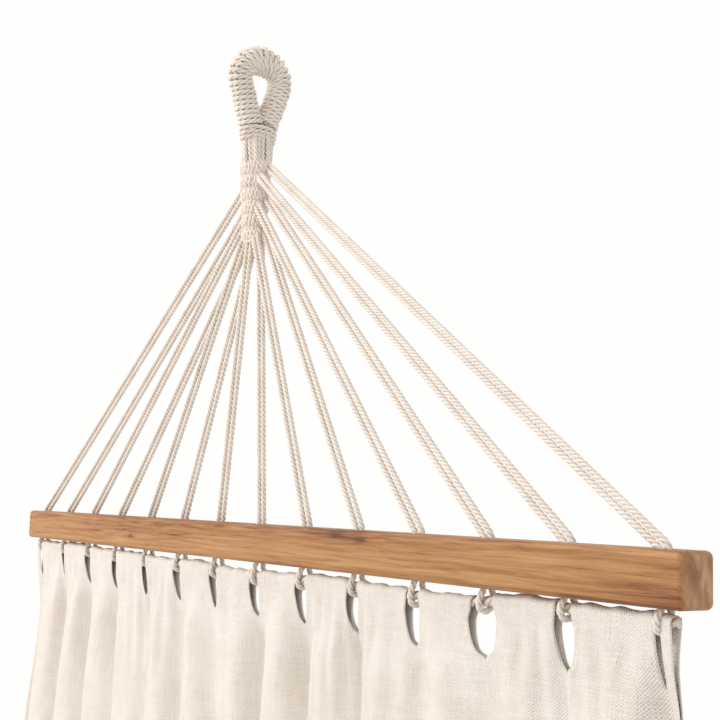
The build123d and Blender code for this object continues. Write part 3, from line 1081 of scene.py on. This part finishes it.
def cloth_point(x, z, face):
    """A point on one face of the single-layer bed, at x before the flare."""
    y = centre_y(z) + fold_y(x, z) + face * (CLOTH / 2 + STITCH_THREAD - STITCH_SINK)
    return np.array([float(flared(x, z)), float(y), z])


def add_seam(builder, starts, run):
    """A seam on both faces: one stitch from each start, with its end at start plus run."""
    for x, z in starts:
        for face in (-1, 1):
            end = cloth_point(x + run[0], z + run[1], face)
            add_stitch(builder, cloth_point(x, z, face), end, STITCH_THREAD)


def thread_piece(name, builder):
    """The stitches so far become one piece that replaces a CAD node."""
    piece = new_object(f"{name}_thread", builder.mesh(name), THREAD)
    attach(piece, "bed")
    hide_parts(name)


def make_stitching():
    """The header seams under the slots, and the seams of the side hems."""
    spacing = STITCH_LENGTH + STITCH_GAP
    seam_z = SEAM_Z - SEAM_DROP
    low_z = 2 * MIDDLE_Z - seam_z
    columns = np.arange(-CANVAS_HALF + 4 * MM, CANVAS_HALF - 6 * MM, spacing)
    for side, z in (("upper", seam_z), ("lower", low_z)):
        builder = Builder()
        add_seam(builder, [(x, z) for x in columns], (STITCH_LENGTH, 0))
        thread_piece(f"header_stitching_{side}", builder)
    rows = np.arange(low_z + 8 * MM, seam_z - 8 * MM, spacing)
    builder = Builder()
    for x in (SIDE_HEM - CANVAS_HALF, CANVAS_HALF - SIDE_HEM):
        add_seam(builder, [(x, z) for z in rows], (0, STITCH_LENGTH))
    thread_piece("side_stitching", builder)


# ---------------------------------------------------------------------------------------------
# Stage: pale floor, soft light and the camera

FLOOR_HALF = 9.0
FLOOR_DROP = 0.08
CAMERA_PLACE = Vector((1.1485, -0.6429, -0.4953))
CAMERA_LENS = 58.87
# Degrees that the camera looks up, leans over, and is turned from +Y towards -X
CAMERA_PITCH, CAMERA_ROLL, CAMERA_TURN = 7.104, 1.883, 55.275


def make_stage():
    """A pale floor below the lower eye, and an even white surrounding."""
    mesh = bpy.data.meshes.new("floor")
    half, z = FLOOR_HALF, cad_box[0][2] - FLOOR_DROP
    corners = [(-half, -half, z), (half, -half, z), (half, half, z), (-half, half, z)]
    mesh.from_pydata(corners, [], [(0, 1, 2, 3)])
    material, _, shader = new_material("floor")
    shader.inputs["Base Color"].default_value = (0.86, 0.85, 0.84, 1)
    shader.inputs["Roughness"].default_value = 0.9
    floor = new_object("floor", mesh, material)
    world = bpy.data.worlds.new("studio")
    world.use_nodes = True
    background = world.node_tree.nodes["Background"]
    background.inputs["Color"].default_value = (1.0, 0.995, 0.99, 1)
    background.inputs["Strength"].default_value = 1.0
    bpy.context.scene.world = world


def add_light(name, place, aim, size, power, colour):
    """A round soft light that faces aim."""
    light = bpy.data.lights.new(name, "AREA")
    light.shape = "DISK"
    light.size = size
    light.energy = power
    light.color = colour
    obj = bpy.data.objects.new(name, light)
    bpy.context.scene.collection.objects.link(obj)
    obj.location = place
    obj.rotation_euler = (Vector(aim) - Vector(place)).to_track_quat("-Z", "Y").to_euler()


def make_camera():
    """The camera stands in front and to the right, level with the bar, and looks a little upwards."""
    pitch, roll, turn = [math.radians(a) for a in (CAMERA_PITCH, CAMERA_ROLL, CAMERA_TURN)]
    ahead = math.cos(pitch)
    forward = Vector((-math.sin(turn) * ahead, math.cos(turn) * ahead, math.sin(pitch)))
    level = Vector((math.cos(turn), math.sin(turn), 0))
    upward = level.cross(forward)
    right = level * math.cos(roll) + upward * math.sin(roll)
    up = upward * math.cos(roll) - level * math.sin(roll)
    camera = bpy.data.cameras.new("camera")
    camera.sensor_width = 36
    camera.lens = CAMERA_LENS
    camera.clip_start = 0.01
    obj = bpy.data.objects.new("camera", camera)
    bpy.context.scene.collection.objects.link(obj)
    turned = Matrix((right, up, -forward)).transposed().to_4x4()
    obj.matrix_world = Matrix.Translation(CAMERA_PLACE) @ turned
    bpy.context.scene.camera = obj
    bpy.context.scene.view_settings.view_transform = "Standard"


LIGHT_AIM = (0, 0, -0.6)

make_camera()
make_stage()
add_light("key", (-1.6, -2.6, 1.2), LIGHT_AIM, size=1.6, power=88, colour=(1.0, 0.985, 0.965))
add_light("fill", (2.6, -1.6, 0.4), LIGHT_AIM, size=2.0, power=6, colour=(0.97, 0.98, 1.0))

make_eye()
make_collar()
make_neck()
make_clew()
for cord_index in range(CORD_COUNT):
    make_doubled_cord(cord_index)
make_hem_rope()
make_bights()
for side_name in ("upper", "lower"):
    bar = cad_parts[f"spreader_bar_{side_name}"]
    bar.data.materials.clear()
    bar.data.materials.append(WOOD)
cloth = make_canvas()
make_stitching()
